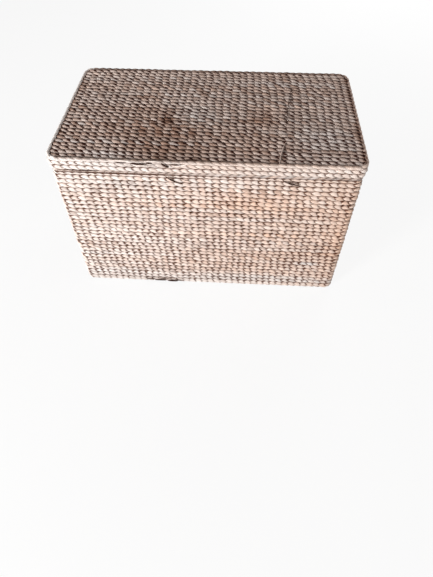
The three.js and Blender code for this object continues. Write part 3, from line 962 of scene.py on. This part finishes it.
class Nodes:
    """The node tree of a material or a world, with short ways to add nodes."""

    def __init__(self, owner):
        owner.use_nodes = True
        self.tree = owner.node_tree

    def feed(self, name, inputs):
        """Gives the node of that name its inputs: plain values or outputs of other nodes."""
        sockets = self.tree.nodes[name].inputs
        for key, value in inputs.items():
            if isinstance(value, bpy.types.NodeSocket):
                self.tree.links.new(value, sockets[key])
            else:
                sockets[key].default_value = value

    def add(self, kind, inputs, **settings):
        """A new node with its settings and inputs."""
        node = self.tree.nodes.new(kind)
        for key, value in settings.items():
            setattr(node, key, value)
        self.feed(node.name, inputs)
        return node

    def attribute(self, name):
        """The vector that a piece holds at each point under that name."""
        return self.add("ShaderNodeAttribute", {}, attribute_name=name).outputs["Vector"]

    def place(self):
        """Places on the piece itself."""
        return self.add("ShaderNodeTexCoord", {}).outputs["Object"]

    def noise(self, vector, scale, detail, size=(1, 1, 1)):
        """Noise over a vector that is stretched by size."""
        mapping = self.add("ShaderNodeMapping", {"Vector": vector, "Scale": size})
        inputs = {"Vector": mapping.outputs["Vector"], "Scale": scale, "Detail": detail}
        return self.add("ShaderNodeTexNoise", inputs).outputs["Fac"]

    def span(self, value, source, target):
        """A value moved from one range to another, and kept inside it."""
        keys = ("From Min", "From Max", "To Min", "To Max")
        inputs = dict(zip(keys, (*source, *target)), Value=value)
        return self.add("ShaderNodeMapRange", inputs).outputs["Result"]

    def combine(self, operation, first, second):
        """One value from two, by an operation such as ADD."""
        return self.add("ShaderNodeMath", {0: first, 1: second}, operation=operation).outputs["Value"]

    def ramp(self, value, stops):
        """A colour for each value, from (place, colour) stops."""
        node = self.add("ShaderNodeValToRGB", {"Fac": value})
        elements = node.color_ramp.elements
        while len(elements) < len(stops):
            elements.new(1.0)
        for element, (place, colour) in zip(elements, stops):
            element.position = place
            element.color = (*colour, 1)
        return node.outputs["Color"]

    def mix(self, factor, first, colour, blend="MIX"):
        """A colour mixed into the first one; 6, 7 and 2 are the numbers of the node's colour sockets."""
        inputs = {"Factor": factor, 6: first, 7: (*colour, 1)}
        return self.add("ShaderNodeMix", inputs, data_type="RGBA", blend_type=blend).outputs[2]

    def bump(self, height, strength, distance, **below):
        """Bumps of that height, laid over another Normal where one is given."""
        inputs = {"Height": height, "Strength": strength, "Distance": distance, **below}
        return self.add("ShaderNodeBump", inputs).outputs["Normal"]

    def seen_directly(self):
        """One for camera, mirror and glass rays, so that they meet the white background."""
        path = self.add("ShaderNodeLightPath", {})
        total = path.outputs["Is Camera Ray"]
        for ray in ("Is Glossy Ray", "Is Transmission Ray"):
            total = self.combine("MAXIMUM", total, path.outputs[ray])
        return total

    def mix_shaders(self, share, first, second):
        """Two shaders mixed by the share of the second."""
        return self.add("ShaderNodeMixShader", {0: share, 1: first, 2: second}).outputs["Shader"]


# Dried stems: colours by tone, colour and end of the painted crevice shade, streaks, start of the
# specks, and gloss
PALE_LOOK = {
    "stops": (
        (0.0, (0.20, 0.135, 0.105)),
        (0.3, (0.47, 0.39, 0.35)),
        (0.55, (0.75, 0.675, 0.635)),
        (0.8, (0.89, 0.84, 0.81)),
        (1.0, (0.95, 0.92, 0.89)),
    ),
    "crevice_shade": (0.17, 0.1, 0.075),
    "crevice_shade_end": 0.69,
    "streak": 0.13,
    "speck_start": 0.72,
    "gloss": 0.05,
}
WEATHERED_LOOK = {
    "stops": (
        (0.0, (0.055, 0.022, 0.014)),
        (0.3, (0.205, 0.117, 0.084)),
        (0.55, (0.425, 0.32, 0.272)),
        (0.8, (0.67, 0.585, 0.545)),
        (1.0, (0.82, 0.75, 0.71)),
    ),
    "crevice_shade": (0.1, 0.024, 0.01),
    "crevice_shade_end": 0.66,
    "streak": 0.22,
    "speck_start": 0.66,
    "gloss": 0.01,
}
BINDING_LOOK = dict(PALE_LOOK, crevice_shade_end=0.62, streak=0.16, speck_start=0.7)
WARM_TINT = (1.0, 0.74, 0.58)
CREVICE_SHADE_START = -0.25
SPECK_COLOUR = (0.06, 0.035, 0.025)
SPECK_FADE = 0.06
SPECK_STRENGTH = 0.7
BLOTCH_TONES = 0.07
STEM_ROUGHNESS = (0.72, 0.52)

# Noise on a stem, with its size along, out and up, and the ranges that a noise mostly fills
STREAKS = {"scale": 1.0, "detail": 3.0, "size": (70, 900, 900)}
BLOTCHES = {"scale": 1.0, "detail": 2.0, "size": (60, 90, 90)}
WRINKLES = {"scale": 1.0, "detail": 2.0, "size": (420, 260, 260)}
SPECKS = {"scale": 260.0, "detail": 2.0}
NOISE_RANGE = (0.3, 0.7)
STREAK_RANGE = (0.25, 0.75)

# Bumps: strength and height
STREAK_BUMP = (0.45, 0.5 * MM)
WRINKLE_BUMP = (0.3, 0.4 * MM)


def stem_material(name, stops, crevice_shade, crevice_shade_end, streak, speck_start, gloss):
    """Dried stems: streaked along the fibre, with painted shade between stitches and deep in the weave,
    and dirt specks.
    """
    material = bpy.data.materials.new(name)
    nodes = Nodes(material)
    fibre = nodes.attribute("fibre")
    split = nodes.add("ShaderNodeSeparateXYZ", {"Vector": nodes.attribute("shade")})
    tone, warm, depth = (split.outputs[axis] for axis in "XYZ")
    streaks = nodes.noise(fibre, **STREAKS)
    tone = nodes.combine("ADD", tone, nodes.span(streaks, STREAK_RANGE, (-streak, streak)))
    blotches = nodes.noise(fibre, **BLOTCHES)
    blotch_tone = nodes.span(blotches, NOISE_RANGE, (-BLOTCH_TONES, BLOTCH_TONES))
    colour = nodes.ramp(nodes.combine("ADD", tone, blotch_tone), stops)
    colour = nodes.mix(warm, colour, WARM_TINT, "MULTIPLY")
    # Painted crevice shade, from the depth in the weave
    crevice_shade_share = nodes.span(depth, (CREVICE_SHADE_START, crevice_shade_end), (1, 0))
    colour = nodes.mix(crevice_shade_share, colour, crevice_shade, "MULTIPLY")
    specks = nodes.noise(nodes.place(), **SPECKS)
    dirty = nodes.span(specks, (speck_start, speck_start + SPECK_FADE), (0, SPECK_STRENGTH))
    wrinkles = nodes.noise(fibre, **WRINKLES)
    nodes.feed(SHADER, {
        "Base Color": nodes.mix(dirty, colour, SPECK_COLOUR),
        "Roughness": nodes.span(streaks, NOISE_RANGE, STEM_ROUGHNESS),
        "Specular IOR Level": gloss,
        "Normal": nodes.bump(wrinkles, *WRINKLE_BUMP, Normal=nodes.bump(streaks, *STREAK_BUMP)),
    })
    return material


PAINT_LOOK = {
    "stops": ((0.35, (0.035, 0.024, 0.018)), (0.6, (0.06, 0.042, 0.032)), (0.72, (0.11, 0.055, 0.03))),
    "metallic": 0.0,
    "roughness": (0.38, 0.55),
}
WIRE_LOOK = {
    "stops": ((0.3, (0.20, 0.19, 0.175)), (0.65, (0.32, 0.31, 0.29))),
    "metallic": 1.0,
    "roughness": (0.3, 0.5),
}
STEEL_BLOTCHES = {"scale": 120.0, "detail": 3.0}
STEEL_GRAIN = {"scale": 900.0, "detail": 2.0}
STEEL_BUMP = (0.2, 0.1 * MM)


def steel_material(name, stops, metallic, roughness):
    """Painted or bare steel with blotches and a fine grain."""
    material = bpy.data.materials.new(name)
    nodes = Nodes(material)
    place = nodes.place()
    blotches = nodes.noise(place, **STEEL_BLOTCHES)
    grain = nodes.noise(place, **STEEL_GRAIN)
    nodes.feed(SHADER, {
        "Base Color": nodes.ramp(blotches, stops),
        "Metallic": metallic,
        "Roughness": nodes.span(blotches, NOISE_RANGE, roughness),
        "Normal": nodes.bump(grain, *STEEL_BUMP),
    })
    return material


def dress_frame():
    """Gives the rods, posts and rings of the frame their steel."""
    steels = {
        "frame_steel": steel_material("painted_steel", **PAINT_LOOK),
        "ring_wire": steel_material("bare_wire", **WIRE_LOOK),
    }
    for part in frame["record"]["subparts"]:
        steel = steels.get(part["material_slot"])
        if steel:
            for slot in frame["nodes"][part["node"]].material_slots:
                slot.material = steel


# Stage
STAGE_REACH = 7.0
STAGE_STOPS = ((0.3, (0.86, 0.86, 0.86)), (0.7, (0.89, 0.89, 0.89)))
STAGE_CLOUDS = {"scale": 3.0, "detail": 2.0}
STAGE_ROUGHNESS = 0.9
STAGE_WHITE = 0.88
AMBIENT = (0.16, 0.158, 0.157)
WHITE = (1, 1, 1)


def stage_material():
    """A pale matt floor that glows white where it is seen directly."""
    material = bpy.data.materials.new("stage_floor")
    nodes = Nodes(material)
    clouds = nodes.noise(nodes.place(), **STAGE_CLOUDS)
    colour = nodes.ramp(clouds, STAGE_STOPS)
    nodes.feed(SHADER, {"Base Color": colour, "Roughness": STAGE_ROUGHNESS})
    matt = nodes.tree.nodes[SHADER].outputs["BSDF"]
    glow = nodes.add("ShaderNodeEmission", {}).outputs["Emission"]
    share = nodes.span(nodes.seen_directly(), (0, 1), (0, STAGE_WHITE))
    nodes.feed("Material Output", {"Surface": nodes.mix_shaders(share, matt, glow)})
    return material


def build_stage_floor():
    """A pale floor that looks white and still takes the shadow."""
    mesh = bpy.data.meshes.new("stage_floor")
    sides = ((-1, -1), (1, -1), (1, 1), (-1, 1))
    corners = [(x * STAGE_REACH, y * STAGE_REACH, 0) for x, y in sides]
    mesh.from_pydata(corners, [], [(0, 1, 2, 3)])
    mesh.materials.append(stage_material())
    floor = bpy.data.objects.new("stage_floor", mesh)
    bpy.context.scene.collection.objects.link(floor)


def build_world():
    """Soft ambient light with a white background."""
    world = bpy.data.worlds.new("studio")
    bpy.context.scene.world = world
    nodes = Nodes(world)
    nodes.feed("Background", {"Color": (*AMBIENT, 1)})
    ambient = nodes.tree.nodes["Background"].outputs["Background"]
    white = nodes.add("ShaderNodeBackground", {"Color": (*WHITE, 1)}).outputs["Background"]
    nodes.feed("World Output", {"Surface": nodes.mix_shaders(nodes.seen_directly(), ambient, white)})


# Soft boxes: name, bearing and elevation in degrees, distance and size in metres, level and colour.
# Level 1 shows a surface that faces the box as bright as its colour.
LIGHTS = (
    ("key", -42, 15, 3.6, 0.7, 1.05, (1.0, 0.985, 0.975)),
    ("fill_back", 155, 24, 3.0, 1.6, 0.4, (0.99, 0.99, 1.0)),
    ("fill_right", 75, 25, 3.2, 1.6, 0.15, (1.0, 0.98, 0.95)),
)
LIGHT_TARGET = Vector((0, 0, 0.26))


def add_light(name, bearing, elevation, distance, size, level, colour):
    """One soft box that faces the chest."""
    light = bpy.data.lights.new(name, "AREA")
    light.size = size
    light.energy = level * (math.pi * distance) ** 2
    light.color = colour
    lamp = bpy.data.objects.new(name, light)
    flat = math.cos(math.radians(elevation))
    side = math.sin(math.radians(bearing)) * flat
    front = -math.cos(math.radians(bearing)) * flat
    lamp.location = LIGHT_TARGET + distance * Vector((side, front, math.sin(math.radians(elevation))))
    lamp.rotation_mode = "QUATERNION"
    lamp.rotation_quaternion = (LIGHT_TARGET - lamp.location).to_track_quat("-Z", "Y")
    bpy.context.scene.collection.objects.link(lamp)


# Camera, fitted to the corners of the chest in the photo
CAMERA_PLACE = Vector((84.8 * MM, -1143.5 * MM, 1175.0 * MM))
CAMERA_PITCH = math.radians(52.54)
CAMERA_YAW = math.radians(-3.633)
CAMERA_ROLL = math.radians(-0.448)
CAMERA_LENS = 28.33
SENSOR_WIDTH = 36


def build_camera():
    """The camera of the photo."""
    camera = bpy.data.cameras.new("camera")
    camera.lens = CAMERA_LENS
    camera.sensor_width = SENSOR_WIDTH
    view = bpy.data.objects.new("camera", camera)
    ahead = Vector((
        math.sin(CAMERA_YAW) * math.cos(CAMERA_PITCH),
        math.cos(CAMERA_YAW) * math.cos(CAMERA_PITCH),
        -math.sin(CAMERA_PITCH),
    ))
    level = Vector((math.cos(CAMERA_YAW), -math.sin(CAMERA_YAW), 0))
    upright = level.cross(ahead)
    right = level * math.cos(CAMERA_ROLL) + upright * math.sin(CAMERA_ROLL)
    top = upright * math.cos(CAMERA_ROLL) - level * math.sin(CAMERA_ROLL)
    turn = Matrix((right, top, -ahead)).transposed()
    view.matrix_world = Matrix.Translation(CAMERA_PLACE) @ turn.to_4x4()
    bpy.context.scene.collection.objects.link(view)
    bpy.context.scene.camera = view


# The runs of the borders in the CAD; the hinge rings break the rim's and the lid's at the back
BASE_RUNS = ("front", "left", "back", "right")
MOUTH_RUNS = ("front", "left", "right", "back_left", "back_middle", "back_right")


def build_chest():
    """Every piece of the chest that replaces a soft CAD solid, and the finish of the steel."""
    pale = stem_material("pale_stem", **PALE_LOOK)
    weathered = stem_material("weathered_stem", **WEATHERED_LOOK)
    binding = stem_material("binding_stem", **BINDING_LOOK)
    build_walls(pale)
    build_skirt(pale)
    build_top(weathered)
    build_floor_panel(pale)
    build_base_border(binding, ["base_border_" + run for run in BASE_RUNS])
    build_rim_border(binding, ["rim_border_" + run for run in MOUTH_RUNS])
    build_lid_binding(binding, ["lid_border_" + run for run in MOUTH_RUNS])
    build_lid_edge(pale)
    build_loose_strands(pale, weathered)
    build_stakes(pale, weathered)
    dress_frame()


build_camera()
build_chest()
build_stage_floor()
build_world()
for soft_box in LIGHTS:
    add_light(*soft_box)
bpy.context.scene.view_settings.view_transform = "Standard"
